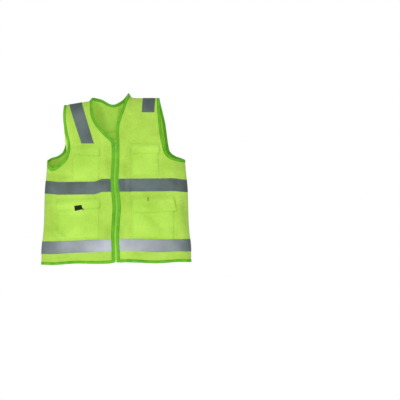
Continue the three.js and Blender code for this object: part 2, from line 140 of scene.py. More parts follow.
# %% Crease and swell
def smooth(t):
    """0 below 0, 1 above 1, and an even curve between."""
    t = np.clip(t, 0, 1)
    return t * t * (3 - 2 * t)


def near(value, middle, reach):
    """1 at the middle, falling away to nothing at about twice the reach."""
    return np.exp(-(((value - middle) / reach) ** 2))


def crease(x, z, fold):
    """The height of one fold, which dies away at both ends."""
    (x0, z0), (x1, z1), height, width = fold
    length = math.hypot(x1 - x0, z1 - z0)
    along = ((x - x0) * (x1 - x0) + (z - z0) * (z1 - z0)) / length
    aside = ((x - x0) * (z1 - z0) - (z - z0) * (x1 - x0)) / length
    return height * near(aside, 0, width) * smooth(np.minimum(along, length - along) / (0.35 * length) + 0.5)


def swell(x, z, seed, size):
    """Slow, seeded waves between -1 and 1, for cloth that never hangs quite flat."""
    points = np.stack([x / size, z / size, np.full_like(x, seed)], -1)
    return np.array([noise.noise(Vector(p)) for p in points.reshape(-1, 3)]).reshape(x.shape)


# %% [markdown]
# ### Where the pockets hold the cloth
# A patch pocket makes the cloth under it behave. Its seams pull a groove, and the straight seam of its flap keeps
# the cloth flat, which gives the flap room to lift. So the pockets' places are needed before the cloth is draped.

# %% Where the pockets are sewn
POCKETS = {
    "right_chest": dict(x=(-169, -65), mouth=-206, bottom=-326, flap=(-193, -229)),
    "left_chest": dict(x=(67, 173), mouth=-196, bottom=-316, flap=(-183, -223)),
    "right_lower": dict(x=(-230, -67), mouth=-411, bottom=-563, flap=(-399, -445)),
    "left_lower": dict(x=(66, 232), mouth=-411, bottom=-563, flap=(-396, -457)),
}


def seam_groove(x, z, h):
    """Stitching pulls the cloth down along a pocket's edge. A flap that passes over is not drawn in."""
    depth = np.zeros_like(x)
    for p in POCKETS.values():
        (a, b), middle = p["x"], (p["mouth"] + p["bottom"]) / 2
        out = np.maximum(abs(x - (a + b) / 2) - (b - a) / 2, abs(z - middle) - (p["mouth"] - p["bottom"]) / 2)
        depth = np.maximum(depth, near(out, 0.6, 2.2) * smooth((p["mouth"] + 4 - z) / 8))
    return -2.2 * depth * (1 - smooth((h - 2.2) / 2))


def flat_at_flaps(x, z):
    """A flap's seam is stitched straight, so the cloth hardly folds there and the flap can lift."""
    held = np.zeros_like(x)
    for p in POCKETS.values():
        (a, b), top = p["x"], p["flap"][0]
        held = np.maximum(held, near(z, top + 2, 15) * smooth(((b - a) / 2 + 14 - abs(x - (a + b) / 2)) / 14))
    return 1 - 0.92 * held


# %% [markdown]
# ### Drift
# Cut edges and bands are drawn straight on the pattern, but a hanging vest pulls them a few millimetres off. Front
# and back drift alike at the side seams, and by up to 0.6 mm differently along the shoulder seams, so both stay shut.

# %% In-plane drift
def drift(x, z, face):
    """How far the cloth moves across and up, in millimetres."""
    from_side = half_width(z) - abs(x)
    inside = smooth(from_side / 60)
    # the shoulders hang to the wearer's right, except at the zip, and the sides swell at the two bands
    top = smooth(1 + z / (400 if face == FRONT else 150)) * smooth(from_side / 40)
    at_zip = near(x, 0, 26) * smooth((-128 - z) / 45) * (face == FRONT)
    dx = -7 * top * (1 - at_zip) + (x / CHEST) ** 3 * (4 * near(z, -370, 90) + 3 * near(z, -600, 50))
    # the hem climbs towards the wearer's left
    dz = 0.018 * x * smooth(-z / LENGTH)
    # the cloth rides up under each arm, and beside the neck on the wearer's left
    dz = dz + 8 * near(x, -258, 40) * near(z, -268, 34) + 4 * near(x, 262, 34) * near(z, -254, 30)
    dz = dz + 6 * near(x, 57, 18) * near(z, 13, 24)
    if face == FRONT:
        # the chest band steps up beside the zip, less so as low as the flaps, and the hem band arches
        step = smooth((x + 88) / 40)
        above_flaps = smooth((z + 392) / 14)
        dz = dz + inside * near(z, -355, 70) * (7 * step - 6)
        dz = dz + inside * (5 * step * above_flaps * near(z, -340, 60) + 8 * near(z, -600, 60) * near(x, 0, 140))
        # the zip wanders
        zip_line = 3 * near(z, -440, 42) - 5 * near(z, -335, 62) - 3 * near(z, -560, 45)
        dx = dx + zip_line * near(x, 0, 60) + 3 * near(z, -430, 45) * near(x, 22, 16)
    else:
        # both bands arch over the middle of the back
        dz = dz + inside * (near(z, -355, 80) * 9 + near(z, -610, 60) * 5) * near(x, -30, 190)
    # the hem waves
    hem = smooth((-z - 560) / 100)
    dz = dz + hem * 2.2 * np.sin(x / 34 + (0 if face == FRONT else 2)) * inside
    return dx, dz


# %% [markdown]
# ### Draping
# One function takes flat places to places in the frame. Across, the form is nearly flat and turns tightly at the
# sides. Up, it rounds over the shoulder. The height above the cloth is added along the form's own normal, together
# with the creases, and every layer is lifted by the same creases, so a pocket follows the cloth that it is sewn to.

# %% The draping function
def drape(x, z, h, face):
    """Flat cloth at (x, z), lifted h off the outer face, to places in the frame, in metres."""
    x, z, h = (np.asarray(a, float) + np.zeros(np.broadcast(x, z, h).shape) for a in (x, z, h))
    width = half_width(z)
    s = np.clip(x / width, -1, 1)
    drop = np.clip((shoulder(s * CHEST) - z) / SHOULDER_DROP, 0, 1)
    z_on = np.minimum(z, shoulder(s * CHEST))
    side, over = 1 - abs(s) ** 6, 1 - (1 - drop) ** 2
    y = face * DEPTH * np.sqrt(side * over)
    slope = (shoulder(s * CHEST + 1) - shoulder(s * CHEST - 1)) / 2
    bend = 2 * side * (1 - drop) / SHOULDER_DROP
    turn = 6 * abs(s) ** 5 * np.sign(s) * over / width
    normal = np.stack([turn - bend * slope, 2 * y / DEPTH**2, bend], -1)
    size = np.linalg.norm(normal, axis=-1, keepdims=True)
    normal = np.where(size > 1e-6, normal / np.maximum(size, 1e-9), [0, 0, 1])
    folds = FRONT_FOLDS if face == FRONT else BACK_FOLDS
    lift = 1.8 * sum(crease(x, z, fold) for fold in folds)
    lift = lift + 6.0 * swell(x, z, 3.1 * face, 95) + 2.6 * swell(x, z, 7.7 * face, 38)
    quiet = smooth(abs(y) / 26) * (1 - 0.75 * near(x, 0, 14) * (face == FRONT))
    if face == FRONT:
        lift = lift * flat_at_flaps(x, z) + seam_groove(x, z, h)
    dx, dz = drift(x, z, face)
    base = np.stack([s * width + dx, y, z_on + dz], -1)
    return (base + normal * (h + lift * quiet)[..., None]) / 1000


print("cloth under the chest band lies at", drape(100, -355, 0, FRONT).round(3), "m")

# %% [markdown]
# ## Outlines
# These are the pattern pieces: the cut edges of the vest, laid flat. Each is a handful of points joined by a
# smooth curve, as a pattern cutter draws a neckline or an armhole with a curved ruler.

# %% Cut edges
def distances(path):
    """How far each point of a path is from its start, along it."""
    return np.concatenate([[0], np.cumsum(np.linalg.norm(np.diff(np.array(path, float), axis=0), axis=1))])


def walk(path, t):
    """The places at shares t of a path's length."""
    path, run = np.array(path, float), distances(path)
    return np.stack([np.interp(np.asarray(t) * run[-1], run, path[:, k]) for k in (0, 1)], -1)


def curved(points, steps=12):
    """A smooth curve through its points."""
    p = np.array([points[0], *points, points[-1]], float)
    out = []
    for a, b, c, d in zip(p, p[1:], p[2:], p[3:]):
        for t in np.arange(steps) / steps:
            out.append(0.5 * (2 * b + (c - a) * t + (2 * a - 5 * b + 4 * c - d) * t**2
                              + (3 * b - a - 3 * c + d) * t**3))
    return [tuple(q) for q in out] + [tuple(points[-1])]


# %% [markdown]
# ## The side, rolled out
# Across the front a millimetre of pattern is a millimetre of cloth. Near the side seam the vest turns through a right
# angle, so a millimetre of pattern covers a long arc. Ribbons and seams there are measured along that arc.

# %% Arc length round the side
SHARE = 1 - np.linspace(1, 0, 4000) ** 3
ROUND = distances(np.stack([CHEST * SHARE, DEPTH * np.sqrt(1 - SHARE**6)], -1))
print("half the front measures", round(float(ROUND[-1])), "mm round its curve and", CHEST, "mm across")


def rolled_out(flat):
    """Flat places with x measured round the tight curve of the side."""
    x, z = np.array(flat, float).T
    return np.stack([np.sign(x) * np.interp(abs(x) / half_width(z), SHARE, ROUND), z], -1)


def rolled_back(places):
    """The same, the other way."""
    a, z = places.T
    return np.stack([np.sign(a) * np.interp(abs(a), ROUND, SHARE) * half_width(z), z], -1)


# %% The cut edges' points
ZIP_EDGE = 5.9
FRONT_EDGE = {
    "right": [(-ZIP_EDGE, -LENGTH)] + curved(
        [(-ZIP_EDGE, -196), (-11, -172), (-40, -141), (-67, -108), (-82, -79), (-89, -44), (-89, 1)]),
    "left": [(ZIP_EDGE, -LENGTH)] + curved([(ZIP_EDGE, -150), (11, -108), (22, -74), (40, -26), (57, 13)]),
}
ARMHOLE = {
    ("right", FRONT): curved([(-275, -254), (-268, -275), (-251, -285), (-221, -266), (-194, -232), (-188, -184),
                              (-197, -140), (-203, -84), (-201, -29)]),
    ("left", FRONT): curved([(275, -254), (255, -252), (226, -241), (205, -220), (194, -177), (188, -134),
                             (183, -80), (179, 0)]),
    ("right", BACK): curved([(-275, -254), (-262, -244), (-238, -234), (-216, -214), (-206, -184), (-205, -152),
                             (-210, -86), (-201, -29)]),
    ("left", BACK): curved([(275, -254), (253, -244), (236, -236), (214, -216), (207, -188), (200, -134),
                            (195, -90), (179, 0)]),
}
BACK_NECK = curved([(-89, 1), (-52, -6), (-12, -25), (27, -12), (57, 13)])
SIGN = {"right": -1, "left": 1}
SIDE_SEAM = {name: [(sign * HEM, -LENGTH), (sign * CHEST, UNDERARM)] for name, sign in SIGN.items()}
SHOULDER_SEAM = {"right": [(-201, -29), (-100, -12), (-89, 1)], "left": [(179, 0), (67, 0), (57, 13)]}
for name, path in {"neck": BACK_NECK, **FRONT_EDGE}.items():
    print(name, "edge", round(float(distances(path)[-1])), "mm")

# %% [markdown]
# ## From a primitive grid to cloth
# Each sheet of cloth starts as Blender's own grid. Its corners, edges and inside are then moved onto the flat
# pattern, between four boundary curves, and draped. Rows are crowded where the form turns tightly, at the side
# seams and the shoulders, so that the turn stays round. Solidify gives the cloth its thickness, inwards.

# %% Grid helpers
def nothing_selected():
    if bpy.context.mode != "OBJECT":
        bpy.ops.object.mode_set(mode="OBJECT")
    bpy.ops.object.select_all(action="DESELECT")


def only(*chosen):
    """Selects these objects and nothing else, and makes the first one active."""
    nothing_selected()
    for o in chosen:
        o.select_set(True)
    bpy.context.view_layer.objects.active = chosen[0]


def in_edit_mode(o):
    only(o)
    bpy.ops.object.mode_set(mode="EDIT")


def pick_faces(o, test):
    """Selects the faces whose middle and normal pass a test, in edit mode."""
    bpy.ops.mesh.select_mode(type="FACE")
    bpy.ops.mesh.select_all(action="DESELECT")
    bpy.ops.object.mode_set(mode="OBJECT")
    for p in o.data.polygons:
        p.select = bool(test(p.center, p.normal))
    bpy.ops.object.mode_set(mode="EDIT")


def finish_mesh(o, name, material, angle=40):
    """Applies place, names the piece and smooths it."""
    only(o)
    bpy.ops.object.transform_apply(location=True, rotation=True, scale=True)
    bpy.ops.object.shade_smooth_by_angle(angle=math.radians(angle))
    o.name = o.data.name = name
    o.data.materials.clear()
    o.data.materials.append(material)
    return o


def apply_modifier(o, kind, **settings):
    m = o.modifiers.new(kind.lower(), kind)
    for key, value in settings.items():
        setattr(m, key, value)
    only(o)
    bpy.ops.object.modifier_apply(modifier=m.name)


def grid(columns, rows):
    """A primitive grid, with each vertex's share across and up."""
    nothing_selected()
    bpy.ops.mesh.primitive_grid_add(x_subdivisions=columns, y_subdivisions=rows, size=2)
    o = bpy.context.object
    co = np.array([v.co for v in o.data.vertices])
    return o, (co[:, 0] + 1) / 2, (co[:, 1] + 1) / 2


def crowd(t, low, high):
    """Shares drawn towards one end or both, where the form turns tightly."""
    if low and high:
        return np.where(t < 0.5, 0.5 * (2 * t) ** 1.5, 1 - 0.5 * (2 - 2 * t) ** 1.5)
    return t**1.5 if low else 1 - (1 - t) ** 1.5 if high else t


def place(o, points):
    o.data.vertices.foreach_set("co", np.asarray(points, float).ravel())
    o.data.update()


def between(bottom, top, left, right, u, v):
    """A flat patch that fills the space between four boundary paths."""
    bu, tu, lv, rv = walk(bottom, u), walk(top, u), walk(left, v), walk(right, v)
    u, v = u[:, None], v[:, None]
    corners = ((1 - u) * (1 - v) * np.array(bottom[0]) + u * (1 - v) * np.array(bottom[-1])
               + (1 - u) * v * np.array(top[0]) + u * v * np.array(top[-1]))
    return (1 - v) * bu + v * tu + (1 - u) * lv + u * rv - corners


def solidify(o, thickness):
    """Gives a sheet its thickness in millimetres, inwards."""
    apply_modifier(o, "SOLIDIFY", thickness=thickness / 1000, offset=-1, use_even_offset=False)


def taken_apart(o):
    """A modelled shape's points and faces. The shape itself is removed."""
    points, faces = np.array([v.co for v in o.data.vertices]), [list(p.vertices) for p in o.data.polygons]
    bpy.data.objects.remove(o)
    return points, faces


def copies(places, faces):
    """One mesh with every copy of a small shape, from each copy's own points."""
    count, size = places.shape[:2]
    mesh = bpy.data.meshes.new("copies")
    moved = [[i + k * size for i in f] for k in range(count) for f in faces]
    mesh.from_pydata(places.reshape(-1, 3).tolist(), [], moved)
    o = bpy.data.objects.new("copies", mesh)
    bpy.context.collection.objects.link(o)
    return o


# %% [markdown]
# ## Finishes
# Every colour starts as an sRGB hex value and one function turns it linear. One small function adds a node with
# its settings and its links, so a material reads as a short list of what the surface is made of.

# %% Colour and node helpers
def linear(hex_value):
    parts = [int(hex_value[k:k + 2], 16) / 255 for k in (1, 3, 5)]
    return tuple(c / 12.92 if c <= 0.04045 else ((c + 0.055) / 1.055) ** 2.4 for c in parts) + (1.0,)


def add(tree, kind, inputs=None, stops=(), **settings):
    """Adds a node. An input that is a socket is linked, and any other value is set. stops are a ramp's colours."""
    n = tree.nodes.new(kind)
    for key, value in settings.items():
        setattr(n, key, value)
    for key, value in (inputs or {}).items():
        if isinstance(value, bpy.types.NodeSocket):
            tree.links.new(value, n.inputs[key])
        else:
            n.inputs[key].default_value = value
    for k, (at, colour) in enumerate(stops):
        stop = n.color_ramp.elements[k] if k < 2 else n.color_ramp.elements.new(at)
        stop.position, stop.color = at, linear(colour)
    return n


def new_material(name, **constants):
    """A material with its Principled node, whose plain values are set on its own sockets."""
    m = bpy.data.materials.new(name)
    m.use_nodes = True
    surface = m.node_tree.nodes["Principled BSDF"]
    for key, value in constants.items():
        surface.inputs[key.replace("_", " ")].default_value = value
    return m, m.node_tree, surface

# %% [markdown]
# ### Fluorescent knit
# The cloth is warp-knitted polyester, dyed with a fluorescent dye and brushed. Fluorescent dye turns blue light
# to yellow-green, so the cloth gives back more green than falls on it: a faint glow in the material stands for
# that. Wales, the knit's upright ribs, are 1.2 mm apart. They are drawn 2.4 mm apart, because finer ones don't show.

# %% Fluorescent lime warp-knitted polyester
WALE = 2.4 / 1000


def knitted(name, light, middle, dark, glow):
    m, tree, surface = new_material(name, Roughness=0.86, Sheen_Weight=0.25, Sheen_Roughness=0.6,
                                    Specular_IOR_Level=0.2, Emission_Strength=glow, Emission_Color=linear(light))
    where = add(tree, "ShaderNodeTexCoord").outputs["Object"]
    cloud = add(tree, "ShaderNodeTexNoise", {"Vector": where, "Scale": 9.0, "Detail": 3.0, "Roughness": 0.5})
    mottle = add(tree, "ShaderNodeTexNoise", {"Vector": where, "Scale": 160.0, "Detail": 2.0})
    both = add(tree, "ShaderNodeMath", {0: mottle.outputs["Fac"], 1: 0.35, 2: cloud.outputs["Fac"]},
               operation="MULTIPLY_ADD")
    colour = add(tree, "ShaderNodeValToRGB", {"Fac": both.outputs[0]}, [(0.42, dark), (0.86, light), (0.62, middle)])
    tree.links.new(colour.outputs["Color"], surface.inputs["Base Color"])
    wales = add(tree, "ShaderNodeTexWave", {"Vector": where, "Scale": math.tau / 20 / WALE, "Distortion": 0.6,
                                            "Detail": 1.0}, bands_direction="X")
    courses = add(tree, "ShaderNodeTexWave", {"Vector": where, "Scale": math.tau / 20 / WALE,
                                              "Distortion": 0.9}, bands_direction="Z")
    knit = add(tree, "ShaderNodeMath", {0: wales.outputs["Fac"], 1: courses.outputs["Fac"]}, operation="MULTIPLY")
    bump = add(tree, "ShaderNodeBump", {"Height": knit.outputs[0], "Strength": 0.35, "Distance": 0.0006})
    tree.links.new(bump.outputs["Normal"], surface.inputs["Normal"])
    return m


LIME_KNIT = knitted("fluorescent_lime_warp_knit", "#C2F05C", "#B4E24F", "#A6D241", 0.06)
POCKET_KNIT = knitted("doubled_fluorescent_lime_warp_knit", "#C5F45E", "#B6E853", "#A9DC46", 0.08)

# %% [markdown]
# ### Satin binding
# Binding is a narrow woven satin ribbon, folded in half over the cut edge. Its long floats catch the light along
# the fold, so it is a little glossier than the knit, and darker where the fold turns away.

# %% Green satin polyester binding
def satin(name, light, dark):
    m, tree, surface = new_material(name, Roughness=0.6, Sheen_Weight=0.08, Specular_IOR_Level=0.25)
    where = add(tree, "ShaderNodeTexCoord").outputs["Object"]
    cloud = add(tree, "ShaderNodeTexNoise", {"Vector": where, "Scale": 38.0, "Detail": 3.0})
    colour = add(tree, "ShaderNodeValToRGB", {"Fac": cloud.outputs["Fac"]}, [(0.3, dark), (0.7, light)])
    tree.links.new(colour.outputs["Color"], surface.inputs["Base Color"])
    ribs = add(tree, "ShaderNodeTexWave", {"Vector": where, "Scale": 220.0, "Distortion": 1.0},
               bands_direction="DIAGONAL")
    bump = add(tree, "ShaderNodeBump", {"Height": ribs.outputs["Fac"], "Strength": 0.25, "Distance": 0.0004})
    tree.links.new(bump.outputs["Normal"], surface.inputs["Normal"])
    return m


GREEN_SATIN = satin("green_satin_binding", "#7CD026", "#62B818")
ZIP_TWILL = satin("woven_zip_tape", "#B4FA62", "#A4F054")

# %% [markdown]
# ### Reflective tape
# The grey tape is cotton and polyester cloth coated with aluminium-backed glass beads, a tenth of a millimetre
# across. By plain light it is a soft grey with a fine grain. On this vest the hem band is paler towards its middle,
# where the beads send light back. That paler grey is a painted reflection, given by place, alike in front and behind.
# The beads may be sending light back there, but that isn't known, so the paler grey is simply given by place, alike
# in front and behind. It stays there however the vest is lit or seen.

# %% Silver glass-bead tape
def glass_bead(name):
    m, tree, surface = new_material(name, Roughness=0.5, Metallic=0.25, Specular_IOR_Level=0.4)
    where = add(tree, "ShaderNodeTexCoord").outputs["Object"]
    grain = add(tree, "ShaderNodeTexNoise", {"Vector": where, "Scale": 420.0, "Detail": 2.0})
    cloud = add(tree, "ShaderNodeTexNoise", {"Vector": where, "Scale": 14.0, "Detail": 2.0})
    fleck = add(tree, "ShaderNodeMath", {0: grain.outputs["Fac"], 1: 0.4, 2: cloud.outputs["Fac"]},
                operation="MULTIPLY_ADD")
    grey, painted_reflection_grey = (add(tree, "ShaderNodeValToRGB", {"Fac": fleck.outputs[0]}, stops).outputs["Color"] for stops in (
        [(0.45, "#586765"), (0.95, "#70817F")], [(0.45, "#B2B8C0"), (0.95, "#CCD2DA")]))
    # an oval of painted reflection, a paler grey, over the middle of the hem band, through the vest from front to back
    low = add(tree, "ShaderNodeMapping", {"Vector": where, "Location": (0.0, 0.0, 3.3), "Scale": (2.9, 0.0, 5.5)})
    painted_reflection_oval = add(tree, "ShaderNodeTexGradient", {"Vector": low.outputs["Vector"]}, gradient_type="SPHERICAL")
    lit = add(tree, "ShaderNodeMath", {0: painted_reflection_oval.outputs["Fac"], 1: 1.15}, operation="MULTIPLY", use_clamp=True)
    colour = add(tree, "ShaderNodeMix", {0: lit.outputs[0], 6: grey, 7: painted_reflection_grey}, data_type="RGBA")
    tree.links.new(colour.outputs[2], surface.inputs["Base Color"])
    bump = add(tree, "ShaderNodeBump", {"Height": grain.outputs["Fac"], "Strength": 0.2, "Distance": 0.0003})
    tree.links.new(bump.outputs["Normal"], surface.inputs["Normal"])
    return m


SILVER_TAPE = glass_bead("silver_glass_bead_tape")

# %% [markdown]
# ### Small finishes
# The zip's teeth are moulded acetal, dyed right through. Its slider is die-cast zinc under green enamel. Hook and
# loop tape is a nylon pile. The label is white woven satin, left blank. Thread is twisted polyester.

# %% Plastic, enamel, pile, label and thread
def plain(name, colour, rough_scale, **constants):
    """A plain dyed or moulded finish with a fine surface of its own."""
    m, tree, surface = new_material(name, **constants)
    where = add(tree, "ShaderNodeTexCoord").outputs["Object"]
    fine = add(tree, "ShaderNodeTexNoise", {"Vector": where, "Scale": rough_scale, "Detail": 2.0})
    shade = tuple(c * 0.8 for c in linear(colour)[:3]) + (1.0,)
    mix = add(tree, "ShaderNodeMix", {0: fine.outputs["Fac"], 6: shade, 7: linear(colour)}, data_type="RGBA")
    tree.links.new(mix.outputs[2], surface.inputs["Base Color"])
    bump = add(tree, "ShaderNodeBump", {"Height": fine.outputs["Fac"], "Strength": 0.2, "Distance": 0.0002})
    tree.links.new(bump.outputs["Normal"], surface.inputs["Normal"])
    return m


# The acetal is given a faint glow: painted light that lifts the zip's teeth out of the shade between the bindings.
ACETAL_WITH_PAINTED_GLOW = plain("dyed_moulded_acetal_with_painted_glow", "#B4FA62", 300.0, Roughness=0.5, Specular_IOR_Level=0.2,
               Emission_Color=linear("#9BE64C"), Emission_Strength=0.12)
ENAMEL = plain("green_enamelled_zinc", "#8ADA42", 120.0, Roughness=0.4, Coat_Weight=0.15, Coat_Roughness=0.2)
LIME_PILE = plain("lime_nylon_hook_and_loop", "#B2E25C", 700.0, Roughness=0.95, Sheen_Weight=0.4)
BLACK_PILE = plain("black_nylon_hook_tape", "#101A0A", 700.0, Roughness=0.9)
WHITE_SATIN = plain("blank_white_satin_label", "#F2F2EC", 500.0, Roughness=0.5)
ORANGE_THREAD = plain("orange_brown_bar_tack_thread", "#B98A36", 600.0, Roughness=0.7)
LIME_THREAD = plain("lime_polyester_thread", "#A4D84C", 500.0, Roughness=0.7)
GREEN_THREAD = plain("green_polyester_thread", "#4C9418", 500.0, Roughness=0.7)
GREY_THREAD = plain("grey_polyester_thread", "#808A8E", 500.0, Roughness=0.7)

# %% [markdown]
# ## The three panels
# A vest this simple has only three large pieces of cloth: one back and two fronts. Each is a sheet that fills the space
# between its cut edges: the hem below, a side seam or front edge at each side, and the armholes, shoulders and neck
# above.

# %% Panels
SHEET_THICKNESS = 0.6


def panel(name, bottom, top, left, right, face, crowded, columns, rows):
    o, u, v = grid(columns, rows)
    u, v = crowd(u, *crowded), crowd(v, False, True)
    flat = between(bottom, top, left, right, u, v)
    place(o, drape(flat[:, 0], flat[:, 1], 0, face))
    solidify(o, SHEET_THICKNESS)
    finish_mesh(o, name, LIME_KNIT, 80)
    return o


def front_panel(side):
    seam, edge = SIDE_SEAM[side], FRONT_EDGE[side]
    if side == "right":
        top = ARMHOLE["right", FRONT] + SHOULDER_SEAM["right"][1:]
        return panel("right_front_cloth", [seam[0], edge[0]], top, seam, edge, FRONT, (True, False), 140, 180)
    top = SHOULDER_SEAM["left"][::-1] + ARMHOLE["left", FRONT][::-1][1:]
    return panel("left_front_cloth", [edge[0], seam[0]], top, edge, seam, FRONT, (False, True), 140, 180)


def back_panel():
    left, right = SIDE_SEAM["left"], SIDE_SEAM["right"]
    top = (ARMHOLE["left", BACK] + SHOULDER_SEAM["left"][1:] + BACK_NECK[::-1][1:]
           + SHOULDER_SEAM["right"][::-1][1:] + ARMHOLE["right", BACK][::-1][1:])
    return panel("back_cloth", [left[0], right[0]], top, left, right, BACK, (True, True), 210, 170)


cloth = {"back": back_panel(), "right_front": front_panel("right"), "left_front": front_panel("left")}

# %% [markdown]
# ## How the pieces ride
# The frame's fronts swing about the side seams, while the real cloth stays sewn along the shoulder. So whatever
# reaches higher up a front than 168 mm below the shoulder is attached to no body, and keeps its place as drawn. What
# lies wholly lower rides on its front or flap alone.

# %% Riding
BLEND_START, BLEND_END = -0.002, -0.168


def goes_with(o, body, stands_for):
    """Says what a piece rides on, and which nodes of the frame it replaces."""
    if body == "back" or max(v.co.z for v in o.data.vertices) < BLEND_END:
        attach(o, body)
    else:
        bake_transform(o)
    if stands_for:
        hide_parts(*stands_for)
    return o


goes_with(cloth["back"], "back", ["back_panel"])
for side in SIGN:
    goes_with(cloth[f"{side}_front"], f"{side}_front", [f"{side}_front_panel"])

# %% [markdown]
# ## Stitches
# Sewing shows as rows of small raised dashes. One stitch is modelled, from a six-sided cylinder pulled thin at its
# ends, and the rows are filled with copies that lie along the cloth.

# %% One stitch and its rows
def model_stitch():
    nothing_selected()
    bpy.ops.mesh.primitive_cylinder_add(vertices=6, radius=0.36 / 1000, depth=1.3 / 1000, rotation=(0, math.pi / 2, 0))
    o = bpy.context.object
    bpy.ops.object.transform_apply(location=True, rotation=True, scale=True)
    bpy.ops.object.mode_set(mode="EDIT")
    bpy.ops.mesh.select_all(action="DESELECT")
    bpy.ops.mesh.select_mode(type="FACE")
    bpy.ops.object.mode_set(mode="OBJECT")
    for p in o.data.polygons:
        p.select = abs(p.normal.x) > 0.9
    bpy.ops.object.mode_set(mode="EDIT")
    bpy.ops.mesh.extrude_faces_move()
    bpy.ops.object.mode_set(mode="OBJECT")
    for v in o.data.vertices:
        if v.select:
            v.co.x += math.copysign(0.45 / 1000, v.co.x)
            v.co.y *= 0.5
            v.co.z *= 0.5
    return taken_apart(o)


STITCH, STITCH_FACES = model_stitch()
STITCH_PITCH = 3.2
rows_of_stitches = {}


def sew(body, thread, path, face, h=0.0):
    """Notes a row of stitches along a flat path, to be made with the others of that body and thread."""
    path = np.array(path, float)
    count = max(2, int(distances(path)[-1] / STITCH_PITCH))
    t = (np.arange(count) + 0.5) / count
    p, q = walk(path, t - 0.2 / count), walk(path, t + 0.2 / count)
    a, b = drape(p[:, 0], p[:, 1], h, face), drape(q[:, 0], q[:, 1], h, face)
    up = drape(p[:, 0], p[:, 1], h + 5, face) - a
    rows_of_stitches.setdefault((body, thread), []).append(((a + b) / 2, b - a, up))


def stitched(body, thread, material):
    """Makes every stitch noted for one body and one thread, as one piece."""
    centres, along, up = (np.concatenate(k) for k in zip(*rows_of_stitches[body, thread]))
    x = along / np.maximum(np.linalg.norm(along, axis=1, keepdims=True), 1e-9)
    y = np.cross(up, x)
    y /= np.maximum(np.linalg.norm(y, axis=1, keepdims=True), 1e-9)
    z = np.cross(x, y)
    o = copies(centres[:, None] + np.einsum("vk,nkj->nvj", STITCH, np.stack([x, y, z], 1)), STITCH_FACES)
    finish_mesh(o, f"{body}_{thread}_stitches", material)
    print(o.name, len(centres), "stitches")
    return o

# %% [markdown]
# ## Tape
# Reflective tape is 50 mm wide and a third of a millimetre thick. Each length is a grid with an even thickness,
# sewn down 3 mm inside both long edges. The upright tapes start at the shoulder seam, and the bands end just short of
# the side seam, whose line they follow.

# %% Reflective tape
TAPE_LIFT, UPRIGHT_LIFT = 0.7, 0.75
TAPE_THICKNESS = 0.35
STITCH_INSET = 3


def strap(name, left, right, face, columns, rows, h, crowded=(False, False), top_crowded=False):
    """A length of tape between its two long edges, each given from the bottom up."""
    o, u, v = grid(columns, rows)
    u, v = crowd(u, *crowded), crowd(v, False, top_crowded)
    flat = between([left[0], right[0]], [left[-1], right[-1]], left, right, u, v)
    place(o, drape(flat[:, 0], flat[:, 1], h, face))
    solidify(o, TAPE_THICKNESS)
    return finish_mesh(o, name, SILVER_TAPE, 60)


def inset_path(a, b, amount):
    """The straight line from a to b, moved sideways."""
    dx, dz = b[0] - a[0], b[1] - a[1]
    length = math.hypot(dx, dz)
    return [(a[0] - amount * dz / length, a[1] + amount * dx / length),
            (b[0] - amount * dz / length, b[1] + amount * dx / length)]


SEAM_GAP = 0.8
BAND_SPACING = 1.9  # between the grid's columns, fine enough for the tape to follow the creases


def band(name, body, low, high, ends, face, crowded):
    """A level tape. Each end is an X, or "left" or "right" for the side seam, which slants."""
    def at(end, z):
        return end if end not in SIGN else float(rolled_back(np.array([[SIGN[end] * (ROUND[-1] - SEAM_GAP), z]]))[0, 0])

    a, b = ends if face == FRONT else ends[::-1]
    columns = int(abs(at(a, low) - at(b, low)) / BAND_SPACING)
    edges = [[(at(end, low), low), (at(end, high), high)] for end in (a, b)]
    o = strap(name, *edges, face, columns, 14, TAPE_LIFT, crowded)
    for z in (low + STITCH_INSET, high - STITCH_INSET):
        sew(body, "grey", walk([(at(a, z), z), (at(b, z), z)], np.linspace(0, 1, 61)), face, TAPE_LIFT)
    goes_with(o, body, [name.replace("_tape", "")])


BANDS = {"chest_band": (-380, -330), "hem_band": (-620, -570)}
for name, (low, high) in BANDS.items():
    band(f"back_{name}_tape", "back", low, high, ("right", "left"), BACK, (True, True))
    band(f"right_front_{name}_tape", "right_front", low, high, ("right", -16), FRONT, (True, False))
    band(f"left_front_{name}_tape", "left_front", low, high, (16, "left"), FRONT, (False, True))


def upright(name, body, face, top, bottom, end, stands_for):
    """A tape from the shoulder seam down to end. top and bottom are its two edges' X there."""
    lines = [[(b, end), (t, float(shoulder(t)))] for b, t in zip(bottom, top)]
    left, right = lines if face == FRONT else lines[::-1]
    o = strap(name, left, right, face, 20, 100, UPRIGHT_LIFT, top_crowded=True)
    for line, inwards in ((left, STITCH_INSET * face), (right, -STITCH_INSET * face)):
        sew(body, "grey", walk(inset_path(*line, inwards), np.linspace(0, 0.985, 60)), face, UPRIGHT_LIFT)
    goes_with(o, body, [stands_for])


BAND_TOP = -329.6
upright("right_shoulder_strip", "right_front", FRONT, (-181, -131), (-133, -83), -183, "right_shoulder_tape")
upright("left_shoulder_strip", "left_front", FRONT, (114, 164), (110, 160), -59, "left_shoulder_tape")
upright("back_brace_strip_right", "back", BACK, (-181, -131), (-184, -134), BAND_TOP, "back_brace_tape_right")
upright("back_brace_strip_left", "back", BACK, (114, 164), (121, 171), BAND_TOP, "back_brace_tape_left")

# %% [markdown]
# ## Binding
# A ribbon folded over an edge has a U-shaped section. One section is drawn as a closed loop, and a grid is wrapped
# along the cut edge with that section, its seam merged and its ends filled. A ribbon that starts at a side seam is
# mitred there, so that its end runs straight down the seam and meets the ribbon of the other half.

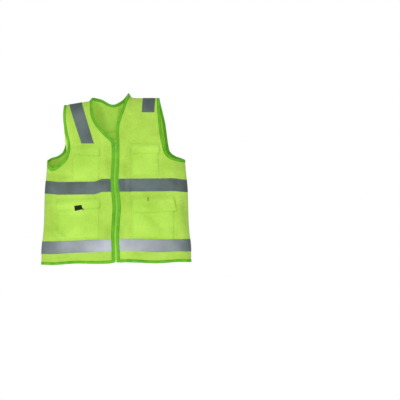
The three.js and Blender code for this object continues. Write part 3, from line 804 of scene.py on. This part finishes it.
# %% The folded section and its sweep
SECTION = [(9.6, 0.12), (9.9, 0.45), (9.5, 0.8), (7.7, 1.05), (5.2, 1.2), (2.9, 1.15), (0.9, 1.2), (-0.6, 0.95),
           (-1.25, 0.3), (-1.3, -0.5), (-0.8, -1.25), (0.6, -1.65), (3.8, -1.7), (7.4, -1.6), (9.4, -1.4),
           (9.7, -1.1), (9.2, -0.72), (4.6, -0.68), (0.2, -0.66), (0.0, -0.3), (0.2, 0.06), (4.6, 0.08)]


SEAM_TURN = 14  # how far from a side seam a ribbon has taken up its own direction


def beside(path, t, hand, d, from_seam=False):
    """Places d off a path at its shares t. From a side seam they start straight below the path."""
    path = rolled_out(path)
    here, ahead, behind = walk(path, t), walk(path, np.minimum(t + 0.004, 1)), walk(path, np.maximum(t - 0.004, 0))
    along = (ahead - behind) / np.linalg.norm(ahead - behind, axis=1, keepdims=True)
    off = hand * np.stack([-along[:, 1], along[:, 0]], 1)
    if from_seam:
        share = smooth(1 - np.linalg.norm(here - path[0], axis=1) / SEAM_TURN)[:, None]
        off = off * (1 - share) + share * np.array([0.0, -1.0])
        off = off / np.linalg.norm(off, axis=1, keepdims=True)
    return rolled_back(here + np.asarray(d)[..., None] * off)


def length_of(path):
    return float(distances(rolled_out(path))[-1])


def ribbon(name, path, hand, face, section=SECTION, step=3.5, low=False, high=False, material=GREEN_SATIN, wave=0.35,
           from_seam=False):
    """Sweeps a section along a flat path. hand is +1 where the cloth lies to the left of the path, and -1 if right."""
    length = length_of(path)
    count = max(4, int(length / step))
    o, u, v = grid(len(section), count)
    ring = np.rint(u * len(section)).astype(int) % len(section)
    t = crowd(v, low, high)
    d, h = np.array(section).T[:, ring]
    flat = beside(path, t, hand, d, from_seam)
    pucker = wave * np.sin(t * length / 4.6 + 1.3 * np.sin(t * length / 31)) * np.clip(d / 10, 0, 1)
    place(o, drape(flat[:, 0], flat[:, 1], h + np.where(h > 0, pucker, -pucker), face))
    in_edit_mode(o)
    bpy.ops.mesh.select_all(action="SELECT")
    bpy.ops.mesh.remove_doubles(threshold=1e-6)
    bpy.ops.mesh.select_all(action="SELECT")
    bpy.ops.mesh.fill_holes(sides=0)
    bpy.ops.mesh.select_all(action="SELECT")
    bpy.ops.mesh.normals_make_consistent(inside=False)
    bpy.ops.object.mode_set(mode="OBJECT")
    return finish_mesh(o, name, material, 50)


BINDING_STITCH, BINDING_HEIGHT = 8.2, 1.2


def bind(name, body, path, hand, face, stands_for, low=False, high=False, from_seam=False):
    """Binds an edge, and sews the binding down near its inner edge."""
    o = ribbon(name, path, hand, face, low=low, high=high, from_seam=from_seam)
    t = np.linspace(0.004, 0.996, int(length_of(path) / 8))
    sew(body, "green", beside(path, t, hand, BINDING_STITCH, from_seam), face, BINDING_HEIGHT)
    goes_with(o, body, stands_for)


# %% Edges bound
for side, sign in SIGN.items():
    bind(f"{side}_front_edge_ribbon", f"{side}_front", FRONT_EDGE[side], -sign, FRONT,
         [f"{side}_front_edge_binding"], high=True)
    bind(f"{side}_front_armhole_ribbon", f"{side}_front", ARMHOLE[side, FRONT], sign, FRONT,
         [f"{side}_front_armhole_binding"], high=True, from_seam=True)
    bind(f"back_armhole_ribbon_{side}", "back", ARMHOLE[side, BACK], sign, BACK,
         [f"back_armhole_binding_{side}"], high=True, from_seam=True)
    bind(f"{side}_front_hem_ribbon", f"{side}_front", [(sign * 16.4, -LENGTH), (sign * HEM, -LENGTH)], sign, FRONT,
         [f"{side}_front_hem_binding"], high=True)
bind("back_neck_ribbon", "back", BACK_NECK, -1, BACK, ["back_neck_binding"])
bind("back_hem_ribbon", "back", [(-HEM, -LENGTH), (HEM, -LENGTH)], 1, BACK, ["back_hem_binding"], True, True)

# %% [markdown]
# ## Pockets
# Each pocket is a patch with its top edge turned over twice and stitched. Its cloth isn't pulled tight, so it stands a
# little off the vest in the middle, and lies close to it along its three sewn sides.

# %% Patch pockets
def lined(u, v, x, low, high):
    """A grid's shares as flat places in a rectangle."""
    return x[0] + (x[1] - x[0]) * u, low + (high - low) * v


def pocket_height(flat_x, flat_z, x, mouth, bottom):
    """How far a pocket's outer face stands off the vest."""
    edge = np.minimum(np.minimum(flat_x - x[0], x[1] - flat_x), flat_z - bottom)
    belly = smooth(edge / 26) * (0.7 + 0.3 * smooth((flat_z - bottom) / (mouth - bottom)))
    hem = 0.5 * smooth((flat_z - mouth + 17) / 1.5)
    return 0.75 + 1.7 * belly + hem + 0.5 * swell(flat_x, flat_z, 5.5, 30) * smooth(edge / 12)


MOUTH_SAG = 3.4


def pocket(name, body, x, mouth, bottom):
    """A patch with a sagging mouth, sewn round three sides and along the hem of its mouth."""
    o, u, v = grid(36, 40)
    flat_x, flat_z = lined(u, v, x, bottom, mouth)
    sag = MOUTH_SAG * np.sin(math.pi * u) * smooth((v - 0.55) / 0.45)
    h = pocket_height(flat_x, flat_z, x, mouth, bottom)
    place(o, drape(flat_x, flat_z - sag, h, FRONT))
    solidify(o, 0.5)
    finish_mesh(o, f"{name}_patch_pocket", POCKET_KNIT, 60)
    rim = [(x[0] + 3, mouth - 1), (x[0] + 3, bottom + 3), (x[1] - 3, bottom + 3), (x[1] - 3, mouth - 1)]
    sew(body, "lime", rim, FRONT, 1.0)
    sew(body, "lime", [(x[0] + (x[1] - x[0]) * k / 24, mouth - 16 - MOUTH_SAG * math.sin(math.pi * k / 24))
                       for k in range(1, 24)], FRONT, 3.1)
    goes_with(o, body, [f"{name}_pocket"])


for name, p in POCKETS.items():
    pocket(name, f"{name.split('_')[0]}_front", p["x"], p["mouth"], p["bottom"])

# %% [markdown]
# ## Flaps
# A flap is two layers of cloth, sewn down along its top and hanging free over the pocket's mouth. It comes
# forward from its seam over a short knee, and its free edge is never quite straight.

# %% Pocket flaps
def flap_height(flat_x, flat_z, x, edges):
    """How far a closed flap's outer face stands off the vest."""
    top, low = edges
    down, across = (top - flat_z) / (top - low), (flat_x - x[0]) / (x[1] - x[0])
    lift = np.clip(down, 0, 1.1) ** 2 * (1.2 + 1.3 * np.sin(across * 4 + x[1]))
    return 1.0 + 4.4 * smooth((top - flat_z) / 14) + lift + 0.9 * near(flat_z, top - 3, 2.2)


CORNER = 7.0
OVERHANG = 1.5  # past the pocket on each side


def flap(name, x, edges):
    """A flap between its seam and its free edge, with rounded corners."""
    top, low = edges
    o, u, v = grid(44, 26)
    flat_x, flat_z = lined(u, v, (x[0] - OVERHANG, x[1] + OVERHANG), low, top)
    round_off = np.maximum(0, CORNER - np.minimum(u, 1 - u) * (x[1] - x[0] + 2 * OVERHANG))
    flat_z = flat_z + (1 - v) * (CORNER - np.sqrt(np.maximum(CORNER**2 - round_off**2, 0))) * 0.8
    flat_z = flat_z + (1 - v) ** 2 * (1.1 * np.sin(u * 5.1 + x[0]) - 0.6)
    if name == "right_lower":  # its free edge rises towards the zip
        flat_z = flat_z + (1 - v) * 9 * u**2
    if name == "left_lower":  # its outer side slants
        flat_x = flat_x + u * (5 - 13 * v)
    place(o, drape(flat_x, flat_z, flap_height(flat_x, flat_z, x, edges), FRONT))
    solidify(o, 1.0)
    finish_mesh(o, f"{name}_cloth_flap", POCKET_KNIT, 60)
    inside = [(x[0] + 2.5, top - 5), (x[0] + 2.5, low + 6), (x[0] + 7, low + 3.5), (x[1] - 7, low + 3.5),
              (x[1] - 2.5, low + 6), (x[1] - 2.5, top - 5)]
    sew(f"{name}_flap", "lime", walk(inside, np.linspace(0, 1, 40)), FRONT, 5.4)
    sew(f"{name}_flap", "lime", [(x[0], top - 4), (x[1], top - 4)], FRONT, 2.6)
    goes_with(o, f"{name}_flap", [f"{name}_flap"])


for name, p in POCKETS.items():
    flap(name, p["x"], p["flap"])

# %% [markdown]
# ## Hook and loop, tab, bar tack and label
# Loop tape is sewn to each pocket and hook tape to the back of its flap, so they meet when the flap is shut. The
# right lower flap also carries a small black tab, a little crooked, with a frayed corner. The left one has a bar
# tack: a few dense zigzags of thread. A blank label hangs inside the back, near the side seam.

# %% Hook and loop squares
def small_sheet(name, corners, height, face, thickness, material):
    """A small four-sided sheet, its corners given from the lower left round to the upper left."""
    a, b, c, d = corners
    o, u, v = grid(14, 12)
    flat = between([a, b], [d, c], [a, d], [b, c], u, v)
    h = height(flat[:, 0], flat[:, 1])
    place(o, drape(flat[:, 0], flat[:, 1], h, face))
    solidify(o, thickness)
    return finish_mesh(o, name, material, 60)


def square(x, z, width, height, turn=0.0):
    """The corners of a rectangle round (x, z), turned by an angle in radians."""
    c, s = math.cos(turn), math.sin(turn)
    half = [(-width / 2, -height / 2), (width / 2, -height / 2), (width / 2, height / 2), (-width / 2, height / 2)]
    return [(x + p * c - q * s, z + p * s + q * c) for p, q in half]


PATCH_THICKNESS = 0.33
for name, p in POCKETS.items():
    x, edges = p["x"], p["flap"]
    where = square((x[0] + x[1]) / 2, edges[1] + 15, 27, 22)
    on_pocket = lambda a, b: pocket_height(a, b, x, p["mouth"], p["bottom"]) + 0.36
    under_flap = lambda a, b: flap_height(a, b, x, edges) - 1.03
    loop = small_sheet(f"{name}_loop_square", where, on_pocket, FRONT, PATCH_THICKNESS, LIME_PILE)
    goes_with(loop, f"{name.split('_')[0]}_front", [f"{name}_loop_patch"])
    hook = small_sheet(f"{name}_hook_square", where, under_flap, FRONT, PATCH_THICKNESS, LIME_PILE)
    goes_with(hook, f"{name}_flap", [f"{name}_hook_patch"])

# %% Black tab, its free corner pulled out into a fray
lower = POCKETS["right_lower"]
tab_corners = square(-149, -437, 29, 21, 0.14)
tab_corners[1] = (tab_corners[1][0] + 1, tab_corners[1][1] + 3)
tab = small_sheet("right_lower_black_tab", tab_corners,
                  lambda a, b: flap_height(a, b, lower["x"], lower["flap"]) + 0.75, FRONT, 0.7, BLACK_PILE)
corner = drape(tab_corners[1][0], tab_corners[1][1], 6, FRONT)
for v in tab.data.vertices:
    pull = max(0.0, 1 - (v.co - Vector(corner)).length / 0.0065)
    v.co += Vector((0.0085, 0, -0.0025)) * pull * pull
goes_with(tab, "right_lower_flap", ["right_lower_closing_tab"])

# %% Label, inside the back
label = small_sheet("blank_care_label", [(228, -602), (262, -602), (262, -548), (228, -548)],
                    lambda a, b: -1.3 - 5 * smooth((-560 - b) / 42), BACK, 0.3, WHITE_SATIN)
goes_with(label, "back", ["care_label"])

# %% [markdown]
# ## The zip
# A moulded zip is two woven tapes, each with a corded edge that its teeth are moulded on. The two rows alternate
# and lock nose to nose. One tooth is modelled: a block, its inner face drawn out into a waist and a rounded head.

# %% Zip tapes
CHAIN_H = -3.6
ZIP_TOP, ZIP_BOTTOM = -172, -646
TAPE_SECTION = [(0.0, 0.55), (0.6, 0.9), (1.3, 0.6), (1.8, 0.3), (7.0, 0.3), (13.6, 0.3), (13.9, 0.0), (13.6, -0.3),
                (7.0, -0.3), (1.8, -0.3), (1.3, -0.6), (0.6, -0.9), (0.0, -0.55)]
for side, sign in SIGN.items():
    section = [(d, h + CHAIN_H) for d, h in TAPE_SECTION]
    o = ribbon(f"zip_tape_{side}_woven", [(sign * 3.1, ZIP_BOTTOM), (sign * 3.1, ZIP_TOP)], -sign, FRONT, section,
               step=5, material=ZIP_TWILL, wave=0)
    goes_with(o, f"{side}_front", [f"zip_tape_{side}"])


# %% Teeth
def cube(size, at):
    """A block of a size at a place, both in millimetres."""
    nothing_selected()
    bpy.ops.mesh.primitive_cube_add(size=1, location=[c / 1000 for c in at], scale=[s / 1000 for s in size])
    o = bpy.context.object
    bpy.ops.object.transform_apply(location=True, rotation=True, scale=True)
    return o


def model_tooth():
    o = cube((1.3, 2.5, 1.5), (2.15, 0, 0))
    in_edit_mode(o)
    pick_faces(o, lambda c, n: n.x < -0.9)
    bpy.ops.mesh.extrude_region_move(TRANSFORM_OT_translate={"value": (-0.0011, 0, 0)})
    bpy.ops.transform.resize(value=(1, 0.9, 0.62))
    bpy.ops.mesh.extrude_region_move(TRANSFORM_OT_translate={"value": (-0.0008, 0, 0)})
    bpy.ops.transform.resize(value=(1, 1.0, 1.55))
    bpy.ops.mesh.extrude_region_move(TRANSFORM_OT_translate={"value": (-0.0006, 0, 0)})
    bpy.ops.transform.resize(value=(1, 0.8, 0.7))
    bpy.ops.object.mode_set(mode="OBJECT")
    return taken_apart(o)


TOOTH, TOOTH_FACES = model_tooth()
print("tooth of", len(TOOTH_FACES), "faces, from x", (TOOTH[:, 0].min() * 1000).round(2), "to",
      (TOOTH[:, 0].max() * 1000).round(2), "mm")
TOOTH_PITCH = 3.3


def tooth_row(side, sign, top, first):
    """A row of teeth up one tape. The right row mirrors the tooth, so its faces are turned."""
    heights = np.arange(first, top, TOOTH_PITCH)
    base = drape(0, heights, CHAIN_H, FRONT)
    o = copies(base[:, None] + TOOTH * (sign, 1, 1), TOOTH_FACES if sign > 0 else [f[::-1] for f in TOOTH_FACES])
    finish_mesh(o, f"zip_teeth_{side}_row", ACETAL_WITH_PAINTED_GLOW, 30)
    goes_with(o, f"{side}_front", [f"zip_teeth_{side}"])
    print(o.name, len(heights), "teeth")


tooth_row("right", -1, -179, ZIP_BOTTOM + 1.2)
tooth_row("left", 1, -183, ZIP_BOTTOM + 17.5 + TOOTH_PITCH / 2)

# %% [markdown]
# ### Slider and pull
# The slider is cast in one piece: two plates joined by a wedge at the top, with a bail in front for the pull. It
# is built from blocks with their edges bevelled.

# %% Tools for the castings
def bevelled(o, width, segments=3):
    apply_modifier(o, "BEVEL", width=width / 1000, segments=segments, limit_method="ANGLE", angle_limit=0.6)
    return o


def joined(parts):
    if len(parts) == 1:
        return parts[0]
    only(*parts)
    bpy.ops.object.join()
    return bpy.context.object


def hardware(parts, name, material, body, stands_for):
    goes_with(finish_mesh(joined(parts), name, material, 35), body, stands_for)
    print(name, "of", len(parts), "blocks")


# %% Slider
CHAIN_Y = -36.4
SLIDER_TOP = -177


def slider_plate(face):
    """A plate that narrows towards its foot, with its outer face crowned."""
    o = cube((8.4, 1.4, 15), (0, CHAIN_Y + face * 2.5, SLIDER_TOP - 7.5))
    in_edit_mode(o)
    bpy.ops.mesh.select_all(action="SELECT")
    bpy.ops.mesh.subdivide(number_cuts=3)
    bpy.ops.object.mode_set(mode="OBJECT")
    for v in o.data.vertices:
        down = (SLIDER_TOP / 1000 - v.co.z) / 0.015
        v.co.x *= 1 - 0.22 * smooth(down) + 0.06 * math.sin(math.pi * down)
        if face * (v.co.y - CHAIN_Y / 1000) > 0.003:
            v.co.y += face * 0.0003 * (1 - (v.co.x / 0.0042) ** 2)
    return bevelled(o, 0.35)


bail = cube((2.2, 1.1, 10), (0, CHAIN_Y - 6.2, SLIDER_TOP - 8))
feet = [cube((2.2, 3.4, 1.5), (0, CHAIN_Y - 4.8, z)) for z in (SLIDER_TOP - 3.75, SLIDER_TOP - 12.25)]
wedge = cube((1.4, 4.0, 3.6), (1.95, CHAIN_Y, SLIDER_TOP - 2))
hardware([slider_plate(FRONT), slider_plate(BACK), bevelled(bail, 0.4), *[bevelled(f, 0.25) for f in feet],
          bevelled(wedge, 0.3)], "zip_slider_cast", ENAMEL, "zip_slider",
         ["zip_slider_front_plate", "zip_slider_back_plate"])

# %% Pull: a crossbar under the bail, two arms and a long tab with a sunk panel
PULL_Y, PULL_Z = CHAIN_Y - 4.4, SLIDER_TOP - 5.6
ARM_LENGTH, TAB_LENGTH = 9.6, 25
TAB_TOP = PULL_Z - ARM_LENGTH + 0.2
nothing_selected()
bpy.ops.mesh.primitive_cylinder_add(vertices=20, radius=0.0008, depth=0.0076, rotation=(0, math.pi / 2, 0),
                                    location=(0, PULL_Y / 1000, PULL_Z / 1000))
crossbar = bevelled(bpy.context.object, 0.2, 2)
arms = [bevelled(cube((1.8, 1.4, ARM_LENGTH), (x, PULL_Y, PULL_Z - ARM_LENGTH / 2)), 0.3) for x in (-2.9, 2.9)]
tab_block = cube((7.8, 1.4, TAB_LENGTH), (0, PULL_Y, TAB_TOP - TAB_LENGTH / 2))
in_edit_mode(tab_block)
pick_faces(tab_block, lambda c, n: abs(n.y) > 0.9)
bpy.ops.mesh.inset(use_individual=True, thickness=0.0013, depth=-0.00035)
bpy.ops.object.mode_set(mode="OBJECT")
bevelled(tab_block, 0.4)
for v in tab_block.data.vertices:
    down = TAB_TOP / 1000 - v.co.z
    v.co.x *= 1 - 0.55 * smooth((down - 0.019) / 0.006) + 0.05 * smooth(down / 0.02)
hardware([crossbar, *arms, tab_block], "zip_pull_cast", ENAMEL, "zip_pull", ["zip_pull_tab"])

# %% Top stops, retainer box and insertion pin
for side, sign in SIGN.items():
    stop = bevelled(cube((1.8, 3.2, 4.0), (sign * 1.9, CHAIN_Y, SLIDER_TOP + 2.6)), 0.4)
    hardware([stop], f"zip_top_stop_{side}_moulded", ACETAL_WITH_PAINTED_GLOW, f"{side}_front", [f"zip_top_stop_{side}"])
box_body = cube((8.5, 4.8, 8.7), (-0.05, CHAIN_Y, ZIP_BOTTOM - 4.65))
in_edit_mode(box_body)
pick_faces(box_body, lambda c, n: n.y < -0.9)
bpy.ops.mesh.inset(use_individual=True, thickness=0.0016, depth=-0.0004)
bpy.ops.object.mode_set(mode="OBJECT")
hardware([bevelled(box_body, 0.5)], "zip_box_moulded", ACETAL_WITH_PAINTED_GLOW, "right_front", ["zip_retainer_box"])
pin = bevelled(cube((1.7, 1.8, 23), (1.95, CHAIN_Y, ZIP_BOTTOM + 4.5)), 0.5)
hardware([pin], "zip_pin_moulded", ACETAL_WITH_PAINTED_GLOW, "left_front", ["zip_insertion_pin"])

# %% [markdown]
# ## Seams and the last stitches
# The side and shoulder seams are overlocked inside and show outside as a row of stitches on each side. When every
# row is noted, the stitches of one body and one thread are made together.

# %% Seams
for side, sign in SIGN.items():
    low, high = SIDE_SEAM[side]
    for face, body in ((FRONT, f"{side}_front"), (BACK, "back")):
        line = rolled_back(np.array([[sign * (ROUND[-1] - 4), z] for z in np.linspace(low[1] + 12, high[1] - 14, 50)]))
        sew(body, "lime", line, face, 0.1)
    across = walk(SHOULDER_SEAM[side], np.linspace(0.1, 0.88, 30))[:, 0]
    sew("back", "lime", np.stack([across, shoulder(across) - 2.2], -1), BACK, 0.1)

# %% Bar tack: a close zigzag
sew("left_lower_flap", "orange", [(125 + 7 * (k % 2), -400 - 0.8 * k) for k in range(20)], FRONT, 6.6)

# %% Every row noted, made
THREADS = {"lime": (LIME_THREAD, "lime_knit"), "green": (GREEN_THREAD, "green_binding"),
           "grey": (GREY_THREAD, "reflective_tape"), "orange": (ORANGE_THREAD, "orange_thread")}
for body, thread in rows_of_stitches:
    material, slot = THREADS[thread]
    stands_for = ["left_lower_flap_bar_tack"] if thread == "orange" else []
    goes_with(stitched(body, thread, material), body, stands_for)

# %% [markdown]
# ## Camera
# The vest is shown as a shop shows it, straight on and from far enough away, with a long lens, that its near parts
# are hardly enlarged. The vest stands left of the middle of the picture.

# %% Camera
camera_data = bpy.data.cameras.new("camera")
camera_data.lens, camera_data.sensor_width = 150, 36
camera = bpy.data.objects.new("camera", camera_data)
bpy.context.collection.objects.link(camera)
camera.location = (0.336, -6.69, -0.409)
camera.rotation_euler = (math.pi / 2, 0, 0)
bpy.context.scene.camera = camera

# %% [markdown]
# ## Light
# A garment is lit with large soft boxes, so that folds shade gently. A key stands above and to one side, and a wider
# fill stands nearly straight in front. The same pair, turned about, lights the back as evenly.

# %% Soft boxes
MIDDLE = Vector((0, 0, -0.35))


def soft_box(name, location, size, watts):
    data = bpy.data.lights.new(name, "AREA")
    data.size, data.energy = size, watts
    o = bpy.data.objects.new(name, data)
    bpy.context.collection.objects.link(o)
    o.location = location
    o.rotation_euler = (MIDDLE - Vector(location)).to_track_quat("-Z", "Y").to_euler()


soft_box("key", (-2.2, -3.0, 1.8), 1.0, 45)
soft_box("fill", (0.5, -4.2, -0.1), 1.4, 35)
soft_box("back_fill", (-0.5, 4.2, -0.1), 1.4, 35)
soft_box("back_key", (2.2, 3.0, 1.8), 1.0, 45)

# %% [markdown]
# ## Floor and room
# The vest hangs well above a wide sheet of white paper. The paper glows a little, as overexposed studio paper does,
# so no edge shows against the white room.

# %% White paper
nothing_selected()
bpy.ops.mesh.primitive_plane_add(size=5, location=(0, 0, -1.9))
floor = bpy.context.object
floor.name = "floor"
PAPER = new_material("white_studio_paper", Base_Color=(0.8, 0.8, 0.8, 1), Roughness=0.9, Emission_Strength=0.8,
                     Emission_Color=(1, 1, 1, 1))[0]
floor.data.materials.append(PAPER)

# %% White room, bright to the camera and dim as a light
world = bpy.data.worlds.new("studio")
bpy.context.scene.world = world
world.use_nodes = True
room = world.node_tree
seen = add(room, "ShaderNodeLightPath").outputs["Is Camera Ray"]
level = add(room, "ShaderNodeMix", {0: seen, 2: 0.3, 3: 1.0}, data_type="FLOAT")
room.links.new(level.outputs[0], room.nodes["Background"].inputs["Strength"])
room.nodes["Background"].inputs["Color"].default_value = (1, 1, 1, 1)
bpy.context.scene.view_settings.view_transform = "Standard"
